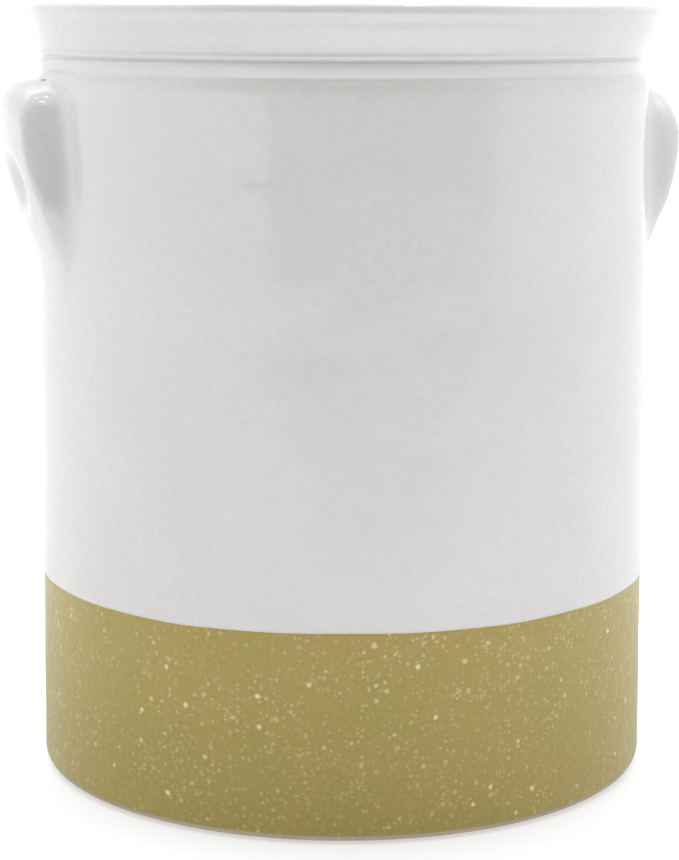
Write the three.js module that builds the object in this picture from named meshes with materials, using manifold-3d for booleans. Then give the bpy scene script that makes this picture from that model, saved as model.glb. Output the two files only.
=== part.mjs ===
// Stoneware fermenting crock with a drop-in lid, a lid knob, two ear handles and two half-moon weights.
// Millimetres, +Z up. The foot ring stands on z = 0, the crock's axis is the Z axis and the
// handles lie on the X axis, left_handle on -X.

import * as THREE from 'three';
import { mergeVertices } from 'three/addons/utils/BufferGeometryUtils.js';
import Module from 'manifold-3d';

const wasm = await Module();
wasm.setup();

// ---- driving dimensions ----
const HEIGHT = 265;             // foot ring to the top of the lip
const WALL_R_LOW = 107;         // finished outside radius low on the wall
const WALL_R_HIGH = 104.9;      // finished outside radius under the shoulder
const SHOULDER_Z = 234.5;       // where the wall starts to round in to the neck groove
const GLAZE_LINE_Z = 69;        // lower edge of the white glaze on the outside
const WALL_MID_Z = 150;         // one ring of points half way up the wall
const WALL_T = 9;               // wall thickness, glaze included
const FLOOR_Z = 11.5;           // top of the glazed floor
const FLOOR_FILLET_R = 7;       // inside corner between floor and wall

const GLAZE_T = 1.0;            // thickness of the glaze coat
const GAP = 0.3;                // gap kept between touching pieces
const GLAZE_STEP = 0.3;         // how far the coat's lower edge stands proud of the bare band

const FOOT_CORNER_R = 5;        // rounding between the wall and the foot ring
const FOOT_RING_IN_R = 87;      // inner edge of the foot ring
const FOOT_RECESS = 2.5;        // how far the underside is hollowed inside the foot ring

const GROOVE_Z = 242;           // thin groove at the foot of the neck
const GROOVE_R = 103.35;
const RIDGE_Z = 244.8;          // low ridge over it
const RIDGE_R = 103.75;
const NECK_Z = 249.6;           // hollow of the neck, under the lip
const NECK_R = 103.85;
const LIP_Z = 262;              // widest part of the lip
const LIP_R = 107.9;
const MOUTH_R = 98;             // inside of the mouth, above the lid seat
const LEDGE_Z = 234;            // top of the ledge that carries the lid
const LEDGE_IN_R = 91.5;        // free opening through the ledge
const LEDGE_UNDER_Z = 220;      // where the ledge has run out into the wall

const EAR_TOP_Z = 240;          // ear handle: top of its arched outline, at the neck groove
const EAR_ARCH_HALF_W = 32;     // the arch has dropped by EAR_ARCH_DROP this far along the wall
const EAR_ARCH_DROP = 10;
const EAR_FOOT_Z = 171;         // where its two legs have run out into the wall
const EAR_REACH = 12.8;         // how far it stands out from the wall
const EAR_ROOT = 2.5;           // its rounded shape is drawn from this far inside the wall
const EAR_CROWN_Z = 221;        // below this the outer face falls back to the wall
const EAR_LEG_END_Z = 159;      // where that fall would end, inside the wall
const EAR_FACE_W_TOP = 17;      // half width of the outer face at the top
const EAR_FACE_W_LOW = 27;      // and over the legs
const EAR_SIDE_W_TOP = 33;      // half width at the foot of the two sides, at the top
const EAR_SIDE_W_LOW = 36;      // and low down, where the legs splay
const EAR_SKIN = 0.6;           // thickness of the handle at its feathered edge
const HOLLOW_Z = 204;           // centre of the finger hollow
const HOLLOW_OUT = 12;          // the same, outward from the wall
const HOLLOW_HALF_DEPTH = 8.5;
const HOLLOW_HALF_W = 15;
const HOLLOW_HALF_H = 10.5;

const LID_R = 96.2;
const LID_T = 6.5;              // thickness of the lid at its edge
const LID_RISE = 2.6;           // dome of the lid above its edge
const LID_BOSS_R = 12;          // flat in the middle of the lid, under the knob
const LID_RIB_OUT_R = 89.8;     // ring under the lid that centres it in the ledge
const LID_RIB_IN_R = 86;
const LID_RIB_DROP = 6;
const LID_RIB_EDGE_R = 1.8;     // rounding of the ring's lower edge
const LID_UNDER_RISE = 1.2;     // how far the underside inside the ring lies above the seat
const LID_LOW_EDGE_R = 1.5;
const LID_TOP_EDGE_R = 2.2;
const KNOB_R = 16;
const KNOB_TOP_Z = 262;         // the knob stays below the lip

const WEIGHT_R = 87.5;
const WEIGHT_T = 15;
const WEIGHT_SPLIT = 1.5;       // half the gap between the two weights
const WEIGHT_EDGE_R = 2.5;      // rounding of a weight's edges
const WEIGHT_TIP_DEG = 7;       // how much of each pointed tip is rounded off
const FINGER_HOLE_R = 11;
const FINGER_HOLE_X = 42;

const TURNS = 56;               // facets round the crock
const KNOB_TURNS = 28;

// ---- materials ----
const whiteGlaze = { color: 0xdcdbd8, roughness: 0.12, metalness: 0 };
const speckledStoneware = { color: 0xa79a68, roughness: 0.35, metalness: 0 };
const bareStoneware = { color: 0xb9ad93, roughness: 0.7, metalness: 0 };

// ---- helpers ----
const at = (r, z) => new THREE.Vector2(r, z);

function named(name, geometry, finish) {
  const mesh = new THREE.Mesh(geometry, new THREE.MeshStandardMaterial(finish));
  mesh.name = name;
  return mesh;
}

// Points on an arc round (r, z), angles in degrees from the outward radial direction.
function arc(r, z, radius, fromDeg, toDeg, steps) {
  const points = [];
  for (let i = 0; i <= steps; i++) {
    const a = THREE.MathUtils.degToRad(THREE.MathUtils.lerp(fromDeg, toDeg, i / steps));
    points.push(at(r + radius * Math.cos(a), z + radius * Math.sin(a)));
  }
  return points;
}

const smoothThrough = (points, steps) => new THREE.SplineCurve(points).getSpacedPoints(steps);

// The same outline moved to its left, looking along the outline.
function moveLeft(points, distance) {
  return points.map((point, i) => {
    const before = points[Math.max(i - 1, 0)];
    const after = points[Math.min(i + 1, points.length - 1)];
    const along = after.clone().sub(before).normalize();
    return at(point.x - along.y * distance, point.y + along.x * distance);
  });
}

function closed(geometry) {
  geometry.deleteAttribute('normal');
  geometry.deleteAttribute('uv');
  return mergeVertices(geometry, 1e-4);
}

// Turns an outline of (radius, height) points about the Z axis.
function turned(outline, turns) {
  const geometry = new THREE.LatheGeometry(outline, turns);
  geometry.rotateX(Math.PI / 2);
  return closed(geometry);
}

function solid(geometry) {
  const merged = closed(geometry);
  return new wasm.Manifold(new wasm.Mesh({
    numProp: 3,
    vertProperties: new Float32Array(merged.attributes.position.array),
    triVerts: new Uint32Array(merged.index.array),
  }));
}

function geometryOf(manifold) {
  const mesh = manifold.getMesh();
  const geometry = new THREE.BufferGeometry();
  geometry.setAttribute('position', new THREE.BufferAttribute(mesh.vertProperties, 3));
  geometry.setIndex(new THREE.BufferAttribute(mesh.triVerts, 1));
  return geometry;
}

// ---- the crock's finished surface ----
function wallRadius(z) {
  return THREE.MathUtils.mapLinear(z, 0, SHOULDER_Z, WALL_R_LOW, WALL_R_HIGH);
}

// Shoulder, the groove and ridge at the foot of the neck, the neck, and the lip to its inner edge.
function neckAndLip() {
  const shoulder = smoothThrough([
    at(wallRadius(SHOULDER_Z), SHOULDER_Z),
    at(WALL_R_HIGH - 0.1, SHOULDER_Z + 3.6),
    at(WALL_R_HIGH - 0.55, GROOVE_Z - 2.1),
    at(GROOVE_R + 0.25, GROOVE_Z - 0.8),
    at(GROOVE_R, GROOVE_Z),
    at(GROOVE_R + 0.2, GROOVE_Z + 0.9),
    at(RIDGE_R, RIDGE_Z),
    at(RIDGE_R - 0.15, RIDGE_Z + 1.8),
    at(NECK_R, NECK_Z),
  ], 11);
  const lip = smoothThrough([
    at(NECK_R, NECK_Z),
    at(NECK_R + 0.45, NECK_Z + 1.8),
    at(NECK_R + 1.45, NECK_Z + 4.4),
    at(NECK_R + 2.4, NECK_Z + 7),
    at(LIP_R - 0.95, LIP_Z - 3),
    at(LIP_R - 0.25, LIP_Z - 1.2),
    at(LIP_R, LIP_Z + 0.2),
    at(LIP_R - 0.9, HEIGHT - 0.9),
    at(LIP_R - 4, HEIGHT),
    at(MOUTH_R + 2.6, HEIGHT - 0.9),
    at(MOUTH_R + 0.6, HEIGHT - 4.5),
  ], 11);
  return [...shoulder, ...lip.slice(1)];
}

// Mouth, lid ledge, inner wall and floor, from the inner edge of the lip down to the axis.
function insideOfCrock() {
  const innerWallR = WALL_R_HIGH - WALL_T;
  const floorR = innerWallR - FLOOR_FILLET_R;
  return [
    at(MOUTH_R, LEDGE_Z + 2),
    at(MOUTH_R - 1.5, LEDGE_Z),
    at(LEDGE_IN_R + 1, LEDGE_Z),
    at(LEDGE_IN_R, LEDGE_Z - 1.2),
    at(LEDGE_IN_R, LEDGE_Z - 6),
    at(innerWallR - 1, LEDGE_UNDER_Z + 2),
    at(innerWallR, LEDGE_UNDER_Z - 2),
    ...arc(floorR, FLOOR_Z + FLOOR_FILLET_R, FLOOR_FILLET_R, 0, -90, 3),
  ];
}

function finishedSurface() {
  const wall = [at(wallRadius(GLAZE_LINE_Z), GLAZE_LINE_Z), at(wallRadius(WALL_MID_Z), WALL_MID_Z)];
  return [...wall, ...neckAndLip(), ...insideOfCrock()];
}

// Radius of the finished outside at a height below the neck's narrowest part.
function outsideRadius(z) {
  const points = finishedSurface();
  const i = points.findIndex((point) => point.y > z);
  const [low, high] = [points[i - 1], points[i]];
  return THREE.MathUtils.mapLinear(z, low.y, high.y, low.x, high.x);
}

// The coat of white glaze: the finished surface, and the same surface one thickness deeper.
function whiteGlazeCoat() {
  const outer = finishedSurface();
  const inner = moveLeft(outer, GLAZE_T);
  inner[0].y = GLAZE_LINE_Z;
  const outline = [
    ...outer,
    at(0, FLOOR_Z),
    at(0, FLOOR_Z - GLAZE_T),
    ...inner.reverse(),
    outer[0],
  ];
  return turned(outline, TURNS);
}

// The fired clay: foot ring, bare band, and the wall under the glaze.
function crockBody() {
  const underGlaze = moveLeft(finishedSurface(), GLAZE_T + GAP);
  const bandR = wallRadius(GLAZE_LINE_Z) - GLAZE_STEP;
  const footR = WALL_R_LOW - GLAZE_STEP;
  underGlaze[0].y = GLAZE_LINE_Z - GAP;
  const outline = [
    at(0, FOOT_RECESS),
    at(FOOT_RING_IN_R - 2, FOOT_RECESS),
    at(FOOT_RING_IN_R, 0),
    ...arc(footR - FOOT_CORNER_R, FOOT_CORNER_R, FOOT_CORNER_R, -90, 0, 4),
    at(bandR, GLAZE_LINE_Z - GAP),
    ...underGlaze,
    at(0, FLOOR_Z - GLAZE_T - GAP),
  ];
  return turned(outline, TURNS);
}

// ---- ear handles ----
// Height of the ear above the wall at a place s along the wall and z up it, before the hollow is cut.
function earHeight(s, z) {
  const { lerp, clamp, smoothstep } = THREE.MathUtils;
  const side = Math.abs(s);
  const corner = smoothstep(side, 6, 26);
  const archedTop = EAR_TOP_Z - EAR_ARCH_DROP * (side / EAR_ARCH_HALF_W) ** 2.5;
  const belowTop = clamp((archedTop - z) / lerp(12.5, 12, corner), 0, 1);
  const squareness = lerp(3.1, 2.2, corner);
  const crown = (1 - (1 - belowTop) ** squareness) ** (1 / squareness);
  const belowCrown = clamp((EAR_CROWN_Z - z) / (EAR_CROWN_Z - EAR_LEG_END_Z), 0, 1);
  const leg = 0.5 + 0.5 * Math.cos(Math.PI * belowCrown);
  const faceW = lerp(EAR_FACE_W_TOP, EAR_FACE_W_LOW, clamp((EAR_TOP_Z - z) / 42, 0, 1));
  const sideW = lerp(EAR_SIDE_W_LOW, EAR_SIDE_W_TOP, smoothstep(z, 178, 226));
  const flank = Math.cos(0.5 * Math.PI * clamp((side - faceW) / (sideW - faceW), 0, 1)) ** 2;
  return Math.max((EAR_REACH + EAR_ROOT) * crown * leg * flank - EAR_ROOT, 0);
}

// A closed body with the ear's outer face in front and the crock's wall, a gap away, behind it.
// Its rows of points lie closer together near the top, where the ear curves most.
function earBlank() {
  const COLUMNS = 20;
  const ROWS = 20;
  const HALF_W = 38;
  const positions = [];
  const indices = [];
  const quad = (a, b, c, d) => indices.push(a, b, c, a, c, d);
  const front = (row, column) => row * (COLUMNS + 1) + column;
  const back = (row, column) => front(row, column) + (ROWS + 1) * (COLUMNS + 1);
  for (const isFront of [true, false]) {
    for (let row = 0; row <= ROWS; row++) {
      const z = THREE.MathUtils.lerp(EAR_TOP_Z, EAR_FOOT_Z, (row / ROWS) ** 1.5);
      for (let column = 0; column <= COLUMNS; column++) {
        const s = HALF_W * (2 * column / COLUMNS - 1);
        const height = isFront ? EAR_SKIN + earHeight(s, z) : 0;
        const r = outsideRadius(z) + GAP + height;
        const angle = s / WALL_R_HIGH;
        positions.push(r * Math.cos(angle), r * Math.sin(angle), z);
      }
    }
  }
  for (let row = 0; row < ROWS; row++) {
    for (let column = 0; column < COLUMNS; column++) {
      quad(front(row, column), front(row + 1, column), front(row + 1, column + 1), front(row, column + 1));
      quad(back(row, column), back(row, column + 1), back(row + 1, column + 1), back(row + 1, column));
    }
    quad(front(row, 0), back(row, 0), back(row + 1, 0), front(row + 1, 0));
    quad(front(row, COLUMNS), front(row + 1, COLUMNS), back(row + 1, COLUMNS), back(row, COLUMNS));
  }
  for (let column = 0; column < COLUMNS; column++) {
    quad(front(0, column), front(0, column + 1), back(0, column + 1), back(0, column));
    quad(front(ROWS, column), back(ROWS, column), back(ROWS, column + 1), front(ROWS, column + 1));
  }
  const geometry = new THREE.BufferGeometry();
  geometry.setAttribute('position', new THREE.Float32BufferAttribute(positions, 3));
  geometry.setIndex(indices);
  return geometry;
}

// The outline of the ear where it meets the wall, seen from the side, as a thick plate across it.
function earFootprint() {
  const half = [
    at(0, EAR_TOP_Z - 0.4),
    at(10, EAR_TOP_Z - 1.2),
    at(18, EAR_TOP_Z - 3.4),
    at(24, EAR_TOP_Z - 7.5),
    at(28, EAR_TOP_Z - 14),
    at(30, EAR_TOP_Z - 25),
    at(32, EAR_TOP_Z - 42),
    at(33.5, EAR_FOOT_Z + 14),
    at(32.5, EAR_FOOT_Z + 6),
    at(25, EAR_FOOT_Z + 1),
  ];
  const otherHalf = half.slice(1).reverse().map((point) => at(-point.x, point.y));
  const outline = new THREE.Shape(new THREE.SplineCurve([...otherHalf, ...half]).getSpacedPoints(40));
  const plate = new THREE.ExtrudeGeometry(outline, { depth: 60, bevelEnabled: false });
  plate.rotateX(Math.PI / 2);
  plate.rotateZ(Math.PI / 2);
  plate.translate(WALL_R_HIGH - 30, 0, 0);
  return plate;
}

function earHandle() {
  const hollow = new THREE.SphereGeometry(1, 36, 24);
  hollow.scale(HOLLOW_HALF_DEPTH, HOLLOW_HALF_W, HOLLOW_HALF_H);
  hollow.translate(WALL_R_HIGH + HOLLOW_OUT, 0, HOLLOW_Z);
  const ear = solid(earBlank()).intersect(solid(earFootprint())).subtract(solid(hollow));
  return geometryOf(ear);
}

// ---- lid ----
function lidDisc() {
  const under = LEDGE_Z + GAP;
  const edgeTop = under + LID_T;
  const ribBottom = under - LID_RIB_DROP;
  const outline = [
    at(0, under + LID_UNDER_RISE),
    at(LID_RIB_IN_R - 1.5, under + LID_UNDER_RISE),
    at(LID_RIB_IN_R, under - 0.3),
    ...arc(LID_RIB_OUT_R - LID_RIB_EDGE_R, ribBottom + LID_RIB_EDGE_R, LID_RIB_EDGE_R, -130, 0, 4),
    at(LID_RIB_OUT_R, under),
    ...arc(LID_R - LID_LOW_EDGE_R, under + LID_LOW_EDGE_R, LID_LOW_EDGE_R, -90, 0, 2),
    ...arc(LID_R - LID_TOP_EDGE_R, edgeTop - LID_TOP_EDGE_R, LID_TOP_EDGE_R, 0, 80, 3),
    at(0.6 * LID_R, edgeTop + 0.6 * LID_RISE),
    at(LID_BOSS_R + 10, edgeTop + 0.95 * LID_RISE),
    at(LID_BOSS_R, edgeTop + LID_RISE),
    at(0, edgeTop + LID_RISE),
  ];
  return turned(outline, TURNS);
}

function lidKnob() {
  const foot = LEDGE_Z + GAP + LID_T + LID_RISE + GAP;
  const outline = [
    at(0, foot),
    at(10, foot),
    ...smoothThrough([
      at(10, foot + 0.8),
      at(7.8, foot + 3.6),
      at(9, foot + 7),
      at(KNOB_R - 1.5, foot + 9.8),
      at(KNOB_R, foot + 12.6),
      at(KNOB_R - 2, foot + 16),
      at(KNOB_R - 8, KNOB_TOP_Z - 0.5),
    ], 12),
    at(0, KNOB_TOP_Z),
  ];
  return turned(outline, KNOB_TURNS);
}

// ---- weights ----
// A half-moon stone with a finger hole, lying on the floor of the crock on the +X side.
function halfMoonWeight() {
  const tip = THREE.MathUtils.degToRad(90 - WEIGHT_TIP_DEG);
  const cornerY = Math.sqrt(WEIGHT_R ** 2 - WEIGHT_SPLIT ** 2);
  const straightY = cornerY - WEIGHT_R * THREE.MathUtils.degToRad(WEIGHT_TIP_DEG);
  const outline = new THREE.Shape();
  outline.absarc(0, 0, WEIGHT_R, -tip, tip, false);
  outline.quadraticCurveTo(WEIGHT_SPLIT, cornerY, WEIGHT_SPLIT, straightY);
  outline.lineTo(WEIGHT_SPLIT, -straightY);
  outline.quadraticCurveTo(WEIGHT_SPLIT, -cornerY, WEIGHT_R * Math.cos(tip), -WEIGHT_R * Math.sin(tip));
  const hole = new THREE.Path();
  hole.absarc(FINGER_HOLE_X, 0, FINGER_HOLE_R, 0, 2 * Math.PI, true);
  outline.holes.push(hole);
  const geometry = new THREE.ExtrudeGeometry(outline, {
    depth: WEIGHT_T - 2 * WEIGHT_EDGE_R,
    bevelThickness: WEIGHT_EDGE_R,
    bevelSize: WEIGHT_EDGE_R,
    bevelOffset: -WEIGHT_EDGE_R,
    bevelSegments: 2,
    curveSegments: 12,
  });
  geometry.translate(0, 0, FLOOR_Z + GAP + WEIGHT_EDGE_R);
  return geometry;
}

// ---- assembly ----
function build() {
  const crock = new THREE.Group();
  crock.add(named('crock_body', crockBody(), speckledStoneware));
  crock.add(named('white_glaze', whiteGlazeCoat(), whiteGlaze));

  const left = named('left_handle', earHandle(), whiteGlaze);
  left.rotation.z = Math.PI;
  const right = named('right_handle', earHandle(), whiteGlaze);
  crock.add(left, right);

  const lid = new THREE.Group();
  lid.add(named('lid', lidDisc(), whiteGlaze));
  lid.add(named('lid_knob', lidKnob(), whiteGlaze));
  crock.add(lid);

  const rightWeight = named('right_weight', halfMoonWeight(), bareStoneware);
  const leftWeight = named('left_weight', halfMoonWeight(), bareStoneware);
  leftWeight.rotation.z = Math.PI;
  crock.add(leftWeight, rightWeight);
  return crock;
}

export default build();
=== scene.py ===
"""Looks of the stoneware fermenting crock: glazes, clay, handles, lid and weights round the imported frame.

Outlines are in millimetres and repeat the sizes of the part's source; meshes are written in metres.
"""

import math

import bpy
import numpy as np
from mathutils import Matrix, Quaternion, Vector


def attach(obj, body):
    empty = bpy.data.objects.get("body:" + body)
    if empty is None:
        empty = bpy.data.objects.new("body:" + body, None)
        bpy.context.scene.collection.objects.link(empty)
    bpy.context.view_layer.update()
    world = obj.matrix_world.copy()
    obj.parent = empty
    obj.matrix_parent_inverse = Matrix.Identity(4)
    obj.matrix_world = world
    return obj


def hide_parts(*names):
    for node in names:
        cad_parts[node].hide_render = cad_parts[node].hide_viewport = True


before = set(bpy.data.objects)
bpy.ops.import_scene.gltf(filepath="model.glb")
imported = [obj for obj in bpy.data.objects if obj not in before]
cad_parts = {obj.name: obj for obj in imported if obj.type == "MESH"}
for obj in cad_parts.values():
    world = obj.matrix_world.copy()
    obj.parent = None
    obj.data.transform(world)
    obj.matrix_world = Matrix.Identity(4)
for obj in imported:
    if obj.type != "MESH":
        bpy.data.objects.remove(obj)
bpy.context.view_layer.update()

# ---- sizes, mm ----
MM = 0.001
HEIGHT = 265
WALL_R_LOW = 107
WALL_R_HIGH = 104.9
SHOULDER_Z = 234.5
GLAZE_LINE_Z = 69
WALL_T = 9
FLOOR_Z = 11.5
FLOOR_FILLET_R = 7
GLAZE_T = 1.0
GAP = 0.3
GLAZE_STEP = 0.3               # the bare band lies this far inside the glaze's face
FOOT_CORNER_R = 5
FOOT_RING_IN_R = 87
FOOT_RECESS = 2.5
GROOVE_Z = 242
GROOVE_R = 103.35
RIDGE_Z = 244.8
RIDGE_R = 103.75
CREASE_Z = 247.1               # a narrow crease between the ridge and the neck
CREASE_R = 102.7
NECK_Z = 249.6
NECK_R = 103.85
LIP_Z = 262
LIP_R = 107.8
MOUTH_R = 98
LEDGE_Z = 234
LEDGE_IN_R = 91.5
LEDGE_UNDER_Z = 220

EAR_TOP_Z = 240.3              # ear handle: top of its outline at the middle, at the neck groove
EAR_ARCH_HALF_W = 32           # the outline has dropped by EAR_ARCH_DROP this far along the wall
EAR_ARCH_DROP = 10
EAR_ARCH_POWER = 2.5
EAR_CORNER_FROM = 6            # between these half widths the crown's section changes to the corners'
EAR_CORNER_TO = 26
EAR_RISE_MIDDLE = 12.5         # height in which the outer face rises from the top edge
EAR_RISE_CORNER = 12
EAR_SQUARENESS = 3.1           # 2 is a round section at the top, and more is squarer
EAR_ROOT = 2.5                 # its rounded shape is drawn from this far inside the wall
EAR_CROWN_Z = 221              # below this the outer face falls back to the wall
EAR_LEG_END_Z = 159            # where that fall ends, inside the wall
EAR_FOOT_Z = 166               # below this the shape is pushed farther inside the wall
EAR_FACE_W_TOP = 17            # half width of the outer face at the top
EAR_FACE_W_LOW = 27            # and from EAR_WIDENING below it
EAR_WIDENING = 42
EAR_SIDE_W_TOP = 33            # half width at the foot of the two sides, above EAR_SIDE_HIGH_Z
EAR_SIDE_W_LOW = 36            # and below EAR_SIDE_LOW_Z
EAR_SIDE_HIGH_Z = 226
EAR_SIDE_LOW_Z = 178
EAR_FALL = 0.6                 # slope of the shape inside the wall, away from the ear
EAR_FILLET = 2.5
EAR_SOFTENING = 60             # rounds of smoothing where its sides meet the wall and round its hollow
EAR_FLOAT = 0.03               # round the ear its mesh lies just over the glaze
EAR_SINK = 0.16                # and farther out it sinks into it
EAR_NET = 0.8                  # width of its mesh's faces
PATCH_TOP_Z = 242              # the ear's mesh ends in the neck groove, and runs on under the glaze elsewhere
PATCH_LOW_Z = 158
PATCH_HALF_W = 54
PATCH_T = 1.2
PATCH_END_SINK = 0.5
HOLLOW_Z = 204                 # finger hollow in the ear's outer face
HOLLOW_OUT = 12
HOLLOW_HALF_DEPTH = 8.5
HOLLOW_HALF_W = 15
HOLLOW_HALF_H = 10.5
HOLLOW_RIM = 4
LEFT_EAR = (12.8, 0.6, 2.6)    # reach from the wall, droop of the top, squareness of the corners' section
RIGHT_EAR = (12.6, 3.7, 1.8)

LID_R = 96.2
LID_T = 6.5
LID_RISE = 2.6
LID_BOSS_R = 12
LID_RIB_OUT_R = 89.8
LID_RIB_IN_R = 86
LID_RIB_DROP = 6
KNOB_R = 16
KNOB_TOP_Z = 262

WEIGHT_R = 87.5
WEIGHT_T = 15
WEIGHT_SPLIT = 1.5
WEIGHT_EDGE_R = 2.5
WEIGHT_CORNER = 8.0            # how far the disc's round edge is blended into its straight one
WEIGHT_NET = 1.3
FINGER_HOLE_R = 11
FINGER_HOLE_X = 42

TURNS = 288                    # faces round the crock
LID_TURNS = 240
KNOB_TURNS = 128


# ---- outlines ----
def lerp(a, b, t):
    return a + (b - a) * t


def smoothstep(value, low, high):
    t = np.clip((value - low) / (high - low), 0, 1)
    return t * t * (3 - 2 * t)


def arc(r, z, radius, from_deg, to_deg, steps):
    angles = np.radians(np.linspace(from_deg, to_deg, steps + 1))
    return [(r + radius * math.cos(a), z + radius * math.sin(a)) for a in angles]


def line(a, b, steps):
    return [tuple(p) for p in np.linspace(a, b, steps + 1)]


def smooth_through(points, steps):
    """A Catmull-Rom curve through the points, as evenly spaced points."""
    ends = [points[0], *points, points[-1]]
    fine = []
    for p0, p1, p2, p3 in zip(ends, ends[1:], ends[2:], ends[3:]):
        p0, p1, p2, p3 = map(np.array, (p0, p1, p2, p3))
        for t in np.linspace(0, 1, 24, endpoint=False):
            v0, v1 = (p2 - p0) / 2, (p3 - p1) / 2
            cubic, square = 2 * p1 - 2 * p2 + v0 + v1, 3 * p2 - 3 * p1 - 2 * v0 - v1
            fine.append(cubic * t**3 + square * t**2 + v0 * t + p1)
    fine.append(np.array(points[-1]))
    fine = np.array(fine, float)
    length = np.concatenate([[0], np.cumsum(np.linalg.norm(np.diff(fine, axis=0), axis=1))])
    at = np.linspace(0, length[-1], steps + 1)
    return list(zip(np.interp(at, length, fine[:, 0]), np.interp(at, length, fine[:, 1])))


def move_left(points, distance):
    """The outline moved sideways, to the left of its own direction."""
    points = np.array(points, float)
    along = np.gradient(points, axis=0)
    along /= np.linalg.norm(along, axis=1)[:, None]
    return [tuple(p) for p in points + distance * np.stack([-along[:, 1], along[:, 0]], 1)]


def wall_radius(z):
    return lerp(WALL_R_LOW, WALL_R_HIGH, z / SHOULDER_Z)


def neck_and_lip():
    """Groove, ridge, crease and concave neck, and the flared lip with its rounded rim."""
    shoulder = smooth_through([
        (wall_radius(SHOULDER_Z - 4), SHOULDER_Z - 4),
        (wall_radius(SHOULDER_Z), SHOULDER_Z),
        (WALL_R_HIGH - 0.1, SHOULDER_Z + 3.6),
        (WALL_R_HIGH - 0.55, GROOVE_Z - 2.1),
        (GROOVE_R + 0.25, GROOVE_Z - 0.8),
        (GROOVE_R, GROOVE_Z),
        (GROOVE_R + 0.2, GROOVE_Z + 0.9),
        (RIDGE_R - 0.06, RIDGE_Z - 0.7),
        (RIDGE_R, RIDGE_Z),
        (RIDGE_R - 0.06, RIDGE_Z + 1.3),
        (CREASE_R, CREASE_Z),
        (NECK_R - 0.12, CREASE_Z + 1),
        (NECK_R, NECK_Z),
    ], 64)
    lip = smooth_through([
        (NECK_R, NECK_Z),
        (NECK_R + 0.45, NECK_Z + 1.8),
        (NECK_R + 1.45, NECK_Z + 4.4),
        (NECK_R + 2.4, NECK_Z + 7),
        (LIP_R - 0.95, LIP_Z - 3),
        (LIP_R - 0.25, LIP_Z - 1.2),
        (LIP_R, LIP_Z + 0.2),
        (LIP_R - 0.9, HEIGHT - 0.9),
        (LIP_R - 4, HEIGHT),
        (MOUTH_R + 2.6, HEIGHT - 0.9),
        (MOUTH_R + 0.6, HEIGHT - 4.5),
    ], 64)
    return shoulder + lip[1:]


def inside_of_crock():
    """The mouth, the lid's ledge, the inner wall and the floor."""
    inner_wall_r = WALL_R_HIGH - WALL_T
    floor_r = inner_wall_r - FLOOR_FILLET_R
    ledge = smooth_through([
        (MOUTH_R + 0.2, LEDGE_Z + 8),
        (MOUTH_R, LEDGE_Z + 3),
        (MOUTH_R - 1.2, LEDGE_Z + 0.4),
        (MOUTH_R - 3, LEDGE_Z),
        (LEDGE_IN_R + 1.4, LEDGE_Z),
        (LEDGE_IN_R, LEDGE_Z - 1.4),
        (LEDGE_IN_R, LEDGE_Z - 6),
        (inner_wall_r - 1, LEDGE_UNDER_Z + 2),
        (inner_wall_r, LEDGE_UNDER_Z - 5),
    ], 40)
    wall = line(ledge[-1], (inner_wall_r, FLOOR_Z + FLOOR_FILLET_R), 12)
    corner = arc(floor_r, FLOOR_Z + FLOOR_FILLET_R, FLOOR_FILLET_R, 0, -90, 10)
    floor = line(corner[-1], (2, FLOOR_Z), 12)
    return ledge + wall[1:] + corner[1:] + floor[1:]


def finished_surface():
    """Outline of the glazed crock, from the glaze line over the lip to the middle of the floor."""
    z_high = SHOULDER_Z - 4
    wall = line((wall_radius(GLAZE_LINE_Z), GLAZE_LINE_Z), (wall_radius(z_high), z_high), 40)
    return wall[:-1] + neck_and_lip() + inside_of_crock()


# ---- mesh making ----
def add_piece(name, vertices, faces, materials, body, node):
    mesh = bpy.data.meshes.new(name)
    mesh.from_pydata((np.asarray(vertices) * MM).tolist(), [], [list(map(int, f)) for f in faces])
    mesh.validate()
    mesh.shade_smooth()
    for material in materials:
        mesh.materials.append(material)
    piece = bpy.data.objects.new(name, mesh)
    bpy.context.collection.objects.link(piece)
    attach(piece, body)
    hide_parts(node)
    return piece


def thrown(vertices):
    """The slight unevenness of a thrown wall and a leaning neck, the same for every piece of the crock."""
    v = np.array(vertices, float)
    turn = np.arctan2(v[:, 1], v[:, 0])
    z = v[:, 2]
    grow = (0.05 * np.sin(2 * turn + 0.7) + 0.03 * np.sin(3 * turn + z / 70)
            + 0.04 * np.sin(z / 8.5 + turn) + 0.025 * np.sin(z / 5.1 - 2 * turn + 1.3)) - 0.15
    r = np.hypot(v[:, 0], v[:, 1])
    outer = smoothstep(r, 10, 60)
    scale = 1 + grow / np.maximum(r, 40) * outer
    v[:, :2] *= scale[:, None]
    ridge_lean = -1.05 * np.exp(-(((z - RIDGE_Z) / 5) ** 2))
    neck_lean = ridge_lean + 0.5 * np.exp(-(((z - LIP_Z + 4.5) / 4) ** 2))
    v[:, 0] += neck_lean * outer
    return v


def lathe(outline, turns=TURNS):
    """Turns an outline of (radius, height) points about the Z axis. An end on the axis becomes one point."""
    outline = [tuple(p) for p in outline]
    joined = np.allclose(outline[0], outline[-1])
    rows = outline[:-1] if joined else outline
    vertices, first, faces = [], [], []
    for r, z in rows:
        first.append((len(vertices), r < 1e-9))
        count = 1 if r < 1e-9 else turns
        angles = np.linspace(0, 2 * math.pi, count, endpoint=False)
        vertices += [(r * math.cos(a), r * math.sin(a), z) for a in angles]
    pairs = list(zip(range(len(rows)), range(1, len(rows))))
    if joined:
        pairs.append((len(rows) - 1, 0))
    for low, high in pairs:
        (a, a_point), (b, b_point) = first[low], first[high]
        for i in range(turns):
            j = (i + 1) % turns
            if a_point:
                faces.append((a, b + j, b + i))
            elif b_point:
                faces.append((a + i, a + j, b))
            else:
                faces.append((a + i, a + j, b + j, b + i))
    return np.array(vertices), faces


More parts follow.
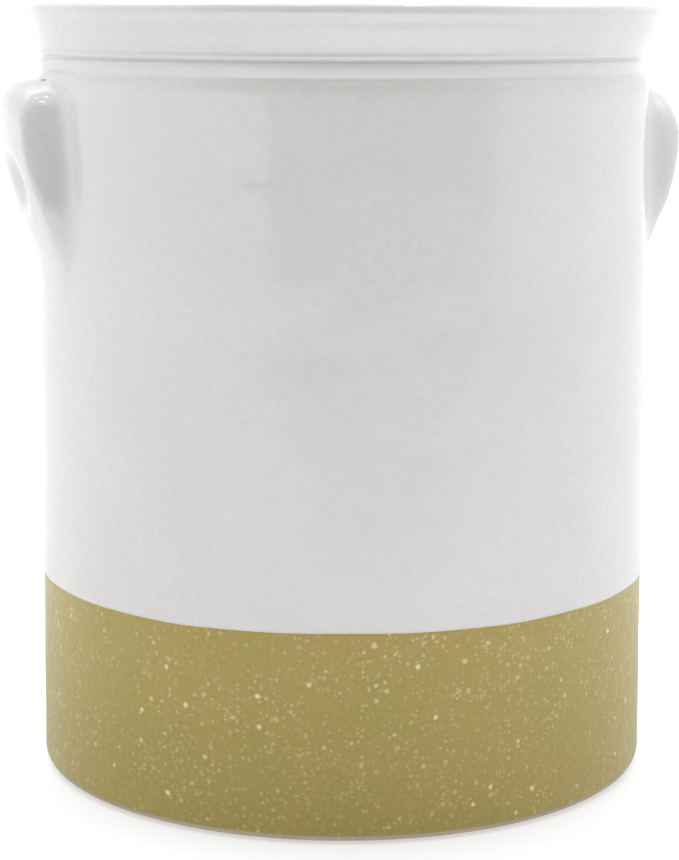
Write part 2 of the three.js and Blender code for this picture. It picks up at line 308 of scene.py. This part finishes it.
def isosurface(field, low, high, step):
    """Quads on the surface where field is 0 (it is negative inside), by surface nets on a grid."""
    axes = [np.arange(l, h + step, step) for l, h in zip(low, high)]
    grid = np.meshgrid(*axes, indexing="ij")
    inside = field(*grid) < 0
    n = np.array(inside.shape)
    corners = np.zeros(n - 1, int)
    for dx in (0, 1):
        for dy in (0, 1):
            for dz in (0, 1):
                corners += inside[dx:n[0] - 1 + dx, dy:n[1] - 1 + dy, dz:n[2] - 1 + dz]
    mixed = (corners > 0) & (corners < 8)
    number = np.full(mixed.shape, -1)
    number[mixed] = np.arange(mixed.sum())
    cells = np.argwhere(mixed)
    centre = np.array(low) + (cells + 0.5) * step
    quads = []
    for axis in range(3):
        u, v = (axis + 1) % 3, (axis + 2) % 3
        here = np.take(inside, range(n[axis] - 1), axis=axis)
        there = np.take(inside, range(1, n[axis]), axis=axis)
        at = np.argwhere(here != there)
        at = at[(at[:, u] > 0) & (at[:, v] > 0) & (at[:, u] < n[u] - 1) & (at[:, v] < n[v] - 1)]
        leaving = here[tuple(at.T)]
        ring = []
        for du, dv in ((0, 0), (1, 0), (1, 1), (0, 1)):
            cell = at.copy()
            cell[:, u] -= du
            cell[:, v] -= dv
            ring.append(number[tuple(cell.T)])
        ring = np.stack(ring, 1)
        ring[~leaving] = ring[~leaving][:, ::-1]
        quads.append(ring)
    quads = np.concatenate(quads)
    return settle(field, centre, quads, step), quads


def evened(points, quads, weight, rounds):
    """Moves each point towards the middle of its neighbours, by its weight, in each round."""
    edges = np.concatenate([quads[:, [i, (i + 1) % 4]] for i in range(4)])
    degree = np.maximum(np.bincount(edges.ravel(), minlength=len(points)), 1)[:, None]
    for _ in range(rounds):
        total = np.zeros_like(points)
        np.add.at(total, edges[:, 0], points[edges[:, 1]])
        np.add.at(total, edges[:, 1], points[edges[:, 0]])
        points = lerp(points, total / degree, weight)
    return points


def settle(field, points, quads, step):
    """Draws the net's points onto the surface, evening them out along it."""
    small = 0.02 * step
    for _ in range(8):
        points = evened(points, quads, 0.5, 1)
        for _ in range(3):
            value = field(*points.T)
            slope = np.stack([
                (field(*(points + small * np.eye(3)[i]).T) - value) / small for i in range(3)
            ], 1)
            push = value[:, None] * slope / np.maximum((slope**2).sum(1), 1e-6)[:, None]
            points = points - np.clip(push, -step, step)
    return points


def smooth_min(a, b, k):
    h = np.maximum(k - np.abs(a - b), 0)
    return np.minimum(a, b) - h * h / (4 * k)


def smooth_max(a, b, k):
    return -smooth_min(-a, -b, k)


# ---- ear handles ----
NECK_POINTS = np.array([(z, r) for r, z in neck_and_lip() if z < NECK_Z + 12])


def recess(z):
    """How far the neck lies inside the straight line of the wall."""
    return np.where(z < SHOULDER_Z, 0, wall_radius(z) - np.interp(z, NECK_POINTS[:, 0], NECK_POINTS[:, 1]))


def ear_face(s, z, reach, droop, fullness):
    """Height of the ear's outer face over the wall, before the finger hollow is cut."""
    side = np.abs(s)
    corner = smoothstep(side, EAR_CORNER_FROM, EAR_CORNER_TO)
    arched_top = EAR_TOP_Z - droop - EAR_ARCH_DROP * (side / EAR_ARCH_HALF_W) ** EAR_ARCH_POWER
    below_top = np.clip((arched_top - z) / lerp(EAR_RISE_MIDDLE, EAR_RISE_CORNER, corner), 0, 1)
    squareness = lerp(EAR_SQUARENESS, fullness, corner)
    crown = (1 - (1 - below_top) ** squareness) ** (1 / squareness)
    below_crown = np.clip((EAR_CROWN_Z - z) / (EAR_CROWN_Z - EAR_LEG_END_Z), 0, 1)
    leg = 0.5 + 0.5 * np.cos(np.pi * below_crown)
    face_w = lerp(EAR_FACE_W_TOP, EAR_FACE_W_LOW, np.clip((EAR_TOP_Z - z) / EAR_WIDENING, 0, 1))
    side_w = lerp(EAR_SIDE_W_LOW, EAR_SIDE_W_TOP, smoothstep(z, EAR_SIDE_LOW_Z, EAR_SIDE_HIGH_Z))
    flank = np.cos(0.5 * np.pi * np.clip((side - face_w) / (side_w - face_w), 0, 1)) ** 2
    beyond = np.maximum(side - side_w, 0) + 0.5 * np.maximum(z - arched_top, 0)
    beyond = beyond + np.maximum(EAR_FOOT_Z - z, 0)
    return (reach + EAR_ROOT) * crown * leg * flank - EAR_ROOT - EAR_FALL * beyond


def hollow_place(out, s, z):
    """Place in the finger hollow's ellipsoid, whose surface is 1 from its middle."""
    return (out - HOLLOW_OUT) / HOLLOW_HALF_DEPTH, s / HOLLOW_HALF_W, (z - HOLLOW_Z) / HOLLOW_HALF_H


def hollow_field(out, s, z):
    """About the distance from the finger hollow, negative inside it."""
    q = hollow_place(out, s, z)
    halves = HOLLOW_HALF_DEPTH, HOLLOW_HALF_W, HOLLOW_HALF_H
    size = np.sqrt(q[0] ** 2 + q[1] ** 2 + q[2] ** 2)
    steep = np.sqrt((q[0] / halves[0]) ** 2 + (q[1] / halves[1]) ** 2 + (q[2] / halves[2]) ** 2)
    return size * (size - 1) / np.maximum(steep, 1e-6)


def ear_field(out, s, z, shape):
    """Negative inside the ear. out is the height over the straight wall, s the way along it."""
    probe, steepest = 0.3, 9
    face = ear_face(s, z, *shape)
    tilt_s = (ear_face(s + probe, z, *shape) - face) / probe
    tilt_z = (ear_face(s, z + probe, *shape) - face) / probe
    ear = (out - face) / np.sqrt(1 + np.minimum(tilt_s**2, steepest) + np.minimum(tilt_z**2, steepest))
    ear = smooth_max(ear, -hollow_field(out, s, z), HOLLOW_RIM)
    wall = out + recess(z)
    body = smooth_min(ear, wall, EAR_FILLET)
    edge = np.maximum(np.abs(s) - PATCH_HALF_W, np.maximum(z - PATCH_TOP_Z, PATCH_LOW_Z - z))
    return np.maximum(np.maximum(body, -(wall + PATCH_T)), edge)


def soften(points, quads):
    """Rounds the corners where the ear's sides meet the wall, and the rim of its hollow.

    The back of the mesh, its ends, and the sharper top at the neck groove stay as they are.
    """
    out, s, z = points.T
    root = smoothstep(out, -0.9, -0.5) * (1 - smoothstep(out, 3, 8))
    root *= smoothstep(z, 172, 184) * (1 - smoothstep(z, 238, 240.5))
    root *= 1 - smoothstep(z, 228, 236) * (1 - smoothstep(np.abs(s), 7, 17))
    hollow = np.sqrt(sum(q**2 for q in hollow_place(out, s, z)))
    rim = 1 - smoothstep(np.abs(hollow - 1), 0.25, 0.6)
    weight = 0.6 * np.maximum(root, rim * smoothstep(out, 2, 4))[:, None]
    return evened(points, quads, weight, EAR_SOFTENING)


def ear_mesh(side, shape):
    def field(out, s, z):
        return ear_field(out, s, z, shape)

    low = (-4.5, -PATCH_HALF_W - 3, PATCH_LOW_Z - 3)
    high = (17, PATCH_HALF_W + 3, PATCH_TOP_Z + 4)
    points, quads = isosurface(field, low, high, EAR_NET)
    out, s, z = soften(points, quads).T
    beyond = (out - ear_face(s, z, *shape)) / 1.1
    sink = EAR_SINK * smoothstep(beyond, 5, 12)
    sink += PATCH_END_SINK * smoothstep(z, PATCH_TOP_Z - 1.2, PATCH_TOP_Z)
    sink += PATCH_END_SINK * (1 - smoothstep(z, PATCH_LOW_Z, PATCH_LOW_Z + 8))
    r = wall_radius(z) + out + EAR_FLOAT - sink
    angle = s / WALL_R_HIGH + (math.pi if side < 0 else 0)
    return thrown(np.stack([r * np.cos(angle), r * np.sin(angle), z], 1)), quads


# ---- materials ----
class Nodes:
    """A short way to write a material's nodes."""

    def __init__(self, name):
        self.material = bpy.data.materials.new(name)
        self.material.use_nodes = True
        self.tree = self.material.node_tree
        self.shader = self.tree.nodes["Principled BSDF"]
        self.place = self.node("ShaderNodeTexCoord").outputs["Object"]

    def node(self, kind, inputs=None, **settings):
        made = self.tree.nodes.new(kind)
        for key, value in settings.items():
            setattr(made, key, value)
        for key, value in (inputs or {}).items():
            self.put(value, made.inputs[key])
        return made

    def put(self, value, socket):
        if isinstance(value, bpy.types.NodeSocket):
            self.tree.links.new(value, socket)
        else:
            socket.default_value = value

    def math(self, operation, a, b=0.0, clamp=False):
        made = self.node("ShaderNodeMath", {0: a, 1: b}, operation=operation)
        made.use_clamp = clamp
        return made.outputs[0]

    def vector(self, operation, inputs):
        return self.node("ShaderNodeVectorMath", inputs, operation=operation).outputs[0]

    def away(self):
        """Distance from the middle of the crock's foot, in metres."""
        return self.node("ShaderNodeVectorMath", {0: self.place}, operation="LENGTH").outputs["Value"]

    def noise(self, scale, detail=2.0, place=None, roughness=0.5):
        made = self.node("ShaderNodeTexNoise", {
            "Vector": place or self.place, "Scale": scale, "Detail": detail, "Roughness": roughness,
        })
        return made.outputs["Fac"]

    def map(self, value, low, high, to_low=0.0, to_high=1.0):
        made = self.node("ShaderNodeMapRange", {
            "Value": value, "From Min": low, "From Max": high, "To Min": to_low, "To Max": to_high,
        }, interpolation_type="SMOOTHSTEP")
        return made.outputs["Result"]

    def mix(self, factor, a, b):
        made = self.node("ShaderNodeMix", data_type="RGBA")
        self.put(factor, made.inputs["Factor"])
        self.put(a, made.inputs["A"])
        self.put(b, made.inputs["B"])
        return made.outputs["Result"]

    def spots(self, cell, radius, share, wander, shift=0.0):
        """Round grains, one in each cell at most: cell, radius and wander in metres, share of the cells."""
        moved = self.node("ShaderNodeTexNoise", {"Vector": self.place, "Scale": 0.6 / cell, "Detail": 1.0})
        bent = self.vector("SUBTRACT", {0: moved.outputs["Color"], 1: (0.5, 0.5, 0.5)})
        bent = self.vector("SCALE", {0: bent, 3: wander})
        there = self.vector("ADD", {0: self.place, 1: bent})
        there = self.vector("ADD", {0: there, 1: (shift, shift, shift)})
        grains = self.node("ShaderNodeTexVoronoi", {"Vector": there, "Scale": 1 / cell})
        random = self.node("ShaderNodeSeparateColor", {0: grains.outputs["Color"]})
        near = self.map(grains.outputs["Distance"], radius / cell, 0.45 * radius / cell)
        chosen = self.map(random.outputs[0], 1 - share, 1 - share + 0.04)
        strength = self.map(random.outputs[1], 0.0, 1.0, 0.35, 1.0)
        return self.math("MULTIPLY", self.math("MULTIPLY", near, chosen), strength)

    def bump(self, height, distance, strength=1.0, normal=None):
        inputs = {"Height": height, "Distance": distance, "Strength": strength}
        if normal is not None:
            inputs["Normal"] = normal
        return self.node("ShaderNodeBump", inputs).outputs["Normal"]

    def finish(self, **inputs):
        for key, value in inputs.items():
            self.put(value, self.shader.inputs[key.replace("_", " ")])
        return self.material


def white_glaze():
    n = Nodes("white_glaze")
    cloud = n.map(n.noise(22, 3), 0.3, 0.7)
    mottle = n.map(n.noise(420, 2), 0.35, 0.65)
    colour = n.mix(cloud, (0.735, 0.737, 0.735, 1), (0.762, 0.766, 0.768, 1))
    colour = n.mix(n.math("MULTIPLY", mottle, 0.35), colour, (0.70, 0.69, 0.67, 1))
    specks = n.spots(0.011, 0.00028, 0.5, 0.004)
    colour = n.mix(n.math("MULTIPLY", specks, 0.35), colour, (0.36, 0.30, 0.22, 1))
    wave = n.noise(75, 1)
    peel = n.noise(520, 2)
    normal = n.bump(wave, 0.0006, 0.5)
    normal = n.bump(peel, 0.00004, 0.5, normal)
    return n.finish(
        Base_Color=colour,
        Roughness=n.map(n.noise(160, 3), 0.3, 0.7, 0.07, 0.13),
        IOR=1.7,
        Normal=normal,
    )


def speckled_stoneware():
    n = Nodes("speckled_stoneware")
    cloud = n.map(n.noise(28, 3), 0.3, 0.7)
    grain = n.map(n.noise(900, 3), 0.3, 0.7)
    colour = n.mix(cloud, (0.415, 0.325, 0.058, 1), (0.455, 0.33, 0.07, 1))
    colour = n.mix(n.math("MULTIPLY", grain, 0.35), colour, (0.30, 0.245, 0.04, 1))
    cluster = n.map(n.noise(60, 2), 0.36, 0.62, 0.3, 1.0)
    fine = n.math("MULTIPLY", n.spots(0.0017, 0.0008, 0.6, 0.0015), 0.4)
    middle = n.math("MULTIPLY", n.spots(0.0038, 0.0011, 0.5, 0.002, 0.37), 0.7)
    big = n.spots(0.0068, 0.0012, 0.5, 0.003, 0.71)
    grains = n.math("MULTIPLY", n.math("MAXIMUM", fine, middle), cluster)
    grains = n.math("MAXIMUM", grains, big)
    colour = n.mix(grains, colour, (0.84, 0.75, 0.42, 1))
    normal = n.bump(n.noise(110, 2), 0.0005, 0.4)
    normal = n.bump(grains, 0.00012, 0.5, normal)
    normal = n.bump(n.noise(1400, 2), 0.00003, 0.6, normal)
    return n.finish(
        Base_Color=colour,
        Roughness=n.map(n.noise(300, 3), 0.3, 0.7, 0.3, 0.42),
        IOR=1.6,
        Sheen_Weight=0.28,
        Sheen_Roughness=0.5,
        Sheen_Tint=(0.9, 1.0, 0.75, 1),
        Normal=normal,
    )


def bare_stoneware():
    n = Nodes("bare_stoneware")
    cloud = n.map(n.noise(35, 3), 0.3, 0.7)
    colour = n.mix(cloud, (0.50, 0.42, 0.29, 1), (0.56, 0.48, 0.35, 1))
    iron = n.spots(0.004, 0.00045, 0.5, 0.002)
    colour = n.mix(n.math("MULTIPLY", iron, 0.7), colour, (0.20, 0.13, 0.08, 1))
    grog = n.spots(0.0022, 0.0006, 0.5, 0.001, 0.3)
    colour = n.mix(n.math("MULTIPLY", grog, 0.5), colour, (0.70, 0.62, 0.48, 1))
    normal = n.bump(n.noise(260, 4, roughness=0.65), 0.0004, 0.6)
    return n.finish(Base_Color=colour, Roughness=n.map(cloud, 0, 1, 0.68, 0.8), Normal=normal)


GLAZE = white_glaze()
STONEWARE = speckled_stoneware()
BARE = bare_stoneware()


# ---- pieces ----
def make_glaze():
    outer = finished_surface()
    inner = move_left(outer, GLAZE_T)
    r_line = wall_radius(GLAZE_LINE_Z)
    bead = smooth_through([
        (r_line - GLAZE_T, GLAZE_LINE_Z + 0.6),
        (r_line - 0.62, GLAZE_LINE_Z + 0.05),
        (r_line - 0.2, GLAZE_LINE_Z + 0.08),
        (r_line + 0.06, GLAZE_LINE_Z + 0.55),
        (r_line + 0.03, GLAZE_LINE_Z + 1.3),
        (wall_radius(GLAZE_LINE_Z + 3), GLAZE_LINE_Z + 3),
    ], 14)
    outer = [p for p in outer[1:] if p[1] > GLAZE_LINE_Z + 3.5 or p[0] < 100]
    inner = [p for p in inner[1:] if p[1] > GLAZE_LINE_Z + 1 or p[0] < 100]
    outline = bead + outer + [(0, FLOOR_Z), (0, FLOOR_Z - GLAZE_T)] + inner[::-1] + [bead[0]]
    vertices, faces = lathe(outline)
    vertices = thrown(vertices)
    turn = np.arctan2(vertices[:, 1], vertices[:, 0])
    outside = (np.hypot(vertices[:, 0], vertices[:, 1]) > 100) & (vertices[:, 2] < GLAZE_LINE_Z + 12)
    fade = 1 - smoothstep(vertices[:, 2], GLAZE_LINE_Z + 1, GLAZE_LINE_Z + 12)
    sway = 0.22 * np.sin(3 * turn + 0.4) + 0.14 * np.sin(7 * turn + 2) + 0.08 * np.sin(17 * turn + 1)
    vertices[:, 2] += np.where(outside, sway * fade, 0)
    add_piece("glaze_coat", vertices, faces, [GLAZE], "crock", "white_glaze")


def make_body():
    band_r = wall_radius(GLAZE_LINE_Z) - GLAZE_STEP
    foot_r = WALL_R_LOW - GLAZE_STEP
    foot = (
        line((0, FOOT_RECESS), (FOOT_RING_IN_R - 3, FOOT_RECESS), 12)
        + arc(FOOT_RING_IN_R - 1.5, FOOT_RECESS - 1.0, 1.0, 90, 20, 4)
        + arc(FOOT_RING_IN_R + 0.8, 0.8, 0.8, 190, 270, 4)
        + line((FOOT_RING_IN_R + 2, 0), (foot_r - FOOT_CORNER_R, 0), 4)[:-1]
        + arc(foot_r - FOOT_CORNER_R, FOOT_CORNER_R, FOOT_CORNER_R, -90, 0, 16)
    )
    band = line(foot[-1], (band_r, GLAZE_LINE_Z + 1.5), 30)[1:]
    under = move_left(finished_surface(), GLAZE_T + GAP)
    under = [p for p in under[1:] if p[1] > GLAZE_LINE_Z + 4 or p[0] < 100]
    outline = foot + band + under + [(0, FLOOR_Z - GLAZE_T - GAP)]
    vertices, faces = lathe(outline)
    vertices = thrown(vertices)
    clays = [STONEWARE, BARE]
    piece = add_piece("clay_body", vertices, faces, clays, "crock", "crock_body")
    for polygon in piece.data.polygons:
        if polygon.center.z < 0.9 * MM or (polygon.center.z < 3 * MM and polygon.normal.z < -0.5):
            polygon.material_index = 1


def make_ear(side, name, shape):
    vertices, faces = ear_mesh(side, shape)
    add_piece(name + "_ear", vertices, faces, [GLAZE], "crock", name + "_handle")


def make_lid():
    under = LEDGE_Z + GAP
    edge_top = under + LID_T
    rib_bottom = under - LID_RIB_DROP
    dome = smooth_through([
        (LID_R - 2.2, edge_top),
        (0.6 * LID_R, edge_top + 0.6 * LID_RISE),
        (LID_BOSS_R + 14, edge_top + 0.93 * LID_RISE),
        (LID_BOSS_R, edge_top + LID_RISE),
    ], 30)
    outline = (
        line((0, under + 1.2), (LID_RIB_IN_R - 3, under + 1.2), 10)
        + arc(LID_RIB_IN_R - 2, under - 0.8, 2.0, 90, 0, 6)
        + arc(LID_RIB_IN_R + 1.8, rib_bottom + 1.8, 1.8, 180, 270, 6)
        + arc(LID_RIB_OUT_R - 1.8, rib_bottom + 1.8, 1.8, -90, 0, 6)
        + arc(LID_RIB_OUT_R + 0.8, under - 0.8, 0.8, 180, 90, 4)
        + arc(LID_R - 1.5, under + 1.5, 1.5, -90, 0, 6)
        + arc(LID_R - 2.2, edge_top - 2.2, 2.2, 0, 84, 8)
        + dome[1:] + line(dome[-1], (0, edge_top + LID_RISE), 4)[1:]
    )
    vertices, faces = lathe(outline, LID_TURNS)
    add_piece("lid_disc", vertices, faces, [GLAZE], "lid", "lid")


def make_knob():
    foot = LEDGE_Z + GAP + LID_T + LID_RISE
    outline = [(0, foot - 0.3), (12.4, foot - 0.3)] + smooth_through([
        (12.4, foot - 0.05),
        (9.4, foot + 1.0),
        (7.9, foot + 3.8),
        (9, foot + 7.2),
        (KNOB_R - 1.6, foot + 10),
        (KNOB_R, foot + 12.8),
        (KNOB_R - 2, foot + 16.2),
        (KNOB_R - 8, KNOB_TOP_Z - 0.6),
        (2, KNOB_TOP_Z),
    ], 60) + [(0, KNOB_TOP_Z)]
    vertices, faces = lathe(outline, KNOB_TURNS)
    add_piece("knob", vertices, faces, [GLAZE], "lid", "lid_knob")


def weight_field(x, y, z):
    edge = WEIGHT_EDGE_R
    middle = FLOOR_Z + GAP + WEIGHT_T / 2
    disc = smooth_max(np.hypot(x, y) - WEIGHT_R, WEIGHT_SPLIT - x, WEIGHT_CORNER)
    hole = FINGER_HOLE_R - np.hypot(x - FINGER_HOLE_X, y)
    side = np.maximum(disc, hole) + edge
    top = np.abs(z - middle) - WEIGHT_T / 2 + edge
    return np.hypot(np.maximum(side, 0), np.maximum(top, 0)) + np.minimum(np.maximum(side, top), 0) - edge


def make_weight(side, name):
    low = (-2, -WEIGHT_R - 3, FLOOR_Z - 2)
    high = (WEIGHT_R + 3, WEIGHT_R + 3, FLOOR_Z + WEIGHT_T + 3)
    points, faces = isosurface(weight_field, low, high, WEIGHT_NET)
    points[:, :2] *= side
    add_piece(name + "_stone", points, faces, [BARE], name + "_weight", name + "_weight")


make_glaze()
make_body()
make_ear(-1, "left", LEFT_EAR)
make_ear(1, "right", RIGHT_EAR)
make_lid()
make_knob()
make_weight(-1, "left")
make_weight(1, "right")


# ---- stage: metres, and strengths where 1 is the white world ----
FLOOR_HALF_W = 20
TABLE_HALF_W = 19
FLOOR_GLOW = 0.4
TABLE = 1.12                   # strength of the tabletop that lights the crock
TABLE_SHADE = 0.55             # the same close to the crock, as a share
MIRRORED_TABLE = 1.1           # strength of the tabletop that the glaze mirrors
FAR_TABLE = 0.5                # the same in the distance, in front of the crock
NEAR_TABLE = 0.8               # added nearer to the crock, in front of it
NEAREST_TABLE = 0.4            # close to the crock, as a share
TENT_R = 18
TENT_HEIGHT = 30
TENT_SIDE = 1.4                # strength of the walls at the crock's sides
TENT_TURN = 1.33               # taken from it towards the camera, and added behind the crock
TENT_BACK = 1.05               # the most that it comes to
TENT_HIGH = 1.7                # strength high up at the sides
SUN = 0.5
LAMP = 0.55
LAMP_X = 0.36
LAMP_Y = 0.3
LAMP_Z = 1.8
LAMP_WIDTH = 0.14


def card(name, vertices, faces):
    mesh = bpy.data.meshes.new(name)
    mesh.from_pydata(vertices, [], faces)
    made = bpy.data.objects.new(name, mesh)
    bpy.context.collection.objects.link(made)
    return made


def flat_card(name, half, z):
    corners = [(-half, -half, z), (half, -half, z), (half, half, z), (-half, half, z)]
    return card(name, corners, [(0, 1, 2, 3)])


def glow(n, strength, colour=(1, 1, 1, 1)):
    return n.finish(
        Base_Color=(0, 0, 0, 1), Emission_Color=colour, Emission_Strength=strength, Roughness=1.0,
    )


def make_floor():
    """The floor, which only the camera sees."""
    floor = flat_card("floor", FLOOR_HALF_W, 0)
    n = Nodes("pale_floor")
    floor.data.materials.append(n.finish(
        Base_Color=(0.66, 0.69, 0.74, 1),
        Emission_Color=(1, 1, 1, 1),
        Emission_Strength=FLOOR_GLOW,
        Roughness=0.6,
    ))
    floor.visible_glossy = False
    floor.visible_diffuse = False
    floor.visible_shadow = False


def make_lit_table():
    """The tabletop as soft light from below, shaded close to the crock."""
    lit = flat_card("lit_table", TABLE_HALF_W, -0.0005)
    n = Nodes("lit_table")
    shaded = n.map(n.away(), 0.09, 0.22, TABLE_SHADE * TABLE, TABLE)
    lit.data.materials.append(glow(n, shaded))
    lit.visible_camera = False
    lit.visible_glossy = False
    lit.visible_shadow = False


def make_mirrored_table():
    """The tabletop as the glaze mirrors it, in front of the crock in three stretches."""
    mirrored = flat_card("mirrored_table", TABLE_HALF_W, -0.001)
    n = Nodes("mirrored_table")
    place = n.node("ShaderNodeSeparateXYZ", {0: n.place})
    side = n.math("ABSOLUTE", place.outputs["X"])
    wide = n.math("MULTIPLY", place.outputs["Y"], -0.9)
    ahead = n.map(n.math("SUBTRACT", side, wide), 0.5, -0.4)
    far = n.map(place.outputs["Y"], -0.5, -2.5)
    near = n.map(place.outputs["Y"], -0.9, -0.35)
    strength = n.map(n.math("MULTIPLY", far, ahead), 0.0, 1.0, MIRRORED_TABLE, FAR_TABLE)
    strength = n.math("ADD", strength, n.math("MULTIPLY", n.math("MULTIPLY", near, ahead), NEAR_TABLE))
    strength = n.math("MULTIPLY", strength, n.map(n.away(), 0.13, 0.42, NEAREST_TABLE, 1.0))
    mirrored.data.materials.append(glow(n, strength))
    mirrored.visible_camera = False
    mirrored.visible_diffuse = False
    mirrored.visible_shadow = False


def make_tent():
    """The lit walls round the table; towards the camera's side they give way to the dark room."""
    turns = 72
    vertices = []
    for z in (0, TENT_HEIGHT):
        for a in np.linspace(0, 2 * math.pi, turns, endpoint=False):
            vertices.append((TENT_R * math.sin(a), -TENT_R * math.cos(a), z))
    faces = [(i, (i + 1) % turns, turns + (i + 1) % turns, turns + i) for i in range(turns)]
    tent = card("tent", vertices, faces)
    n = Nodes("tent")
    facing = math.radians(CAMERA_AZIMUTH)
    front = (math.sin(facing), -math.cos(facing), 0)
    toward = n.node("ShaderNodeVectorMath", {0: n.place, 1: front}, operation="DOT_PRODUCT")
    cosine = n.math("DIVIDE", toward.outputs["Value"], TENT_R)
    strength = n.math("SUBTRACT", TENT_SIDE, n.math("MULTIPLY", cosine, TENT_TURN))
    strength = n.math("MINIMUM", strength, TENT_BACK)
    place = n.node("ShaderNodeSeparateXYZ", {0: n.place})
    high = n.map(place.outputs["Z"], 8, 24)
    overhead = n.math("SUBTRACT", TENT_HIGH, n.math("MULTIPLY", cosine, TENT_TURN))
    strength = n.math("ADD", strength, n.math("MULTIPLY", high, n.math("SUBTRACT", overhead, strength)))
    warm = n.mix(n.map(cosine, 0.3, 0.9), (1, 1, 1, 1), (1, 0.88, 0.8, 1))
    tent.data.materials.append(glow(n, strength, warm))
    tent.visible_camera = False
    tent.visible_shadow = False


def make_lamp(x, y):
    light = bpy.data.lights.new("lamp", "AREA")
    light.shape = "DISK"
    light.size = LAMP_WIDTH
    light.size_y = LAMP_WIDTH
    light.energy = LAMP
    lamp = bpy.data.objects.new("lamp", light)
    lamp.location = (x, y, LAMP_Z)
    lamp.rotation_mode = "QUATERNION"
    lamp.rotation_quaternion = (Vector((0, 0, 0.2)) - lamp.location).to_track_quat("-Z", "Y")
    bpy.context.collection.objects.link(lamp)


def make_lights():
    sun = bpy.data.lights.new("overhead", "SUN")
    sun.energy = SUN
    sun.angle = math.radians(60)
    overhead = bpy.data.objects.new("overhead", sun)
    bpy.context.collection.objects.link(overhead)
    for x in (-LAMP_X, LAMP_X):
        for y in (-LAMP_Y, LAMP_Y):
            make_lamp(x, y)
    world = bpy.data.worlds.new("studio")
    bpy.context.scene.world = world
    world.use_nodes = True
    background = world.node_tree.nodes["Background"]
    background.inputs["Color"].default_value = (1, 1, 1, 1)
    background.inputs["Strength"].default_value = 1.0


# ---- camera: metres and degrees ----
CAMERA_AZIMUTH = -15.0         # from the front, towards the left ear
CAMERA_DISTANCE = 0.8204
CAMERA_HEIGHT = 0.2616
CAMERA_PITCH = 10.08
CAMERA_ROLL = 0.2
LENS = 98.16
SHIFT_X = -0.0037


def make_camera():
    data = bpy.data.cameras.new("camera")
    data.lens = LENS
    data.sensor_width = 36
    data.shift_x = SHIFT_X
    camera = bpy.data.objects.new("camera", data)
    a, e = math.radians(CAMERA_AZIMUTH), math.radians(CAMERA_PITCH)
    camera.location = (CAMERA_DISTANCE * math.sin(a), -CAMERA_DISTANCE * math.cos(a), CAMERA_HEIGHT)
    ahead = Vector((-math.sin(a) * math.cos(e), math.cos(a) * math.cos(e), -math.sin(e)))
    roll = Quaternion((0, 0, 1), math.radians(CAMERA_ROLL))
    camera.rotation_mode = "QUATERNION"
    camera.rotation_quaternion = ahead.to_track_quat("-Z", "Y") @ roll
    bpy.context.collection.objects.link(camera)
    bpy.context.scene.camera = camera


make_floor()
make_lit_table()
make_mirrored_table()
make_tent()
make_lights()
make_camera()
bpy.context.scene.view_settings.view_transform = "Standard"
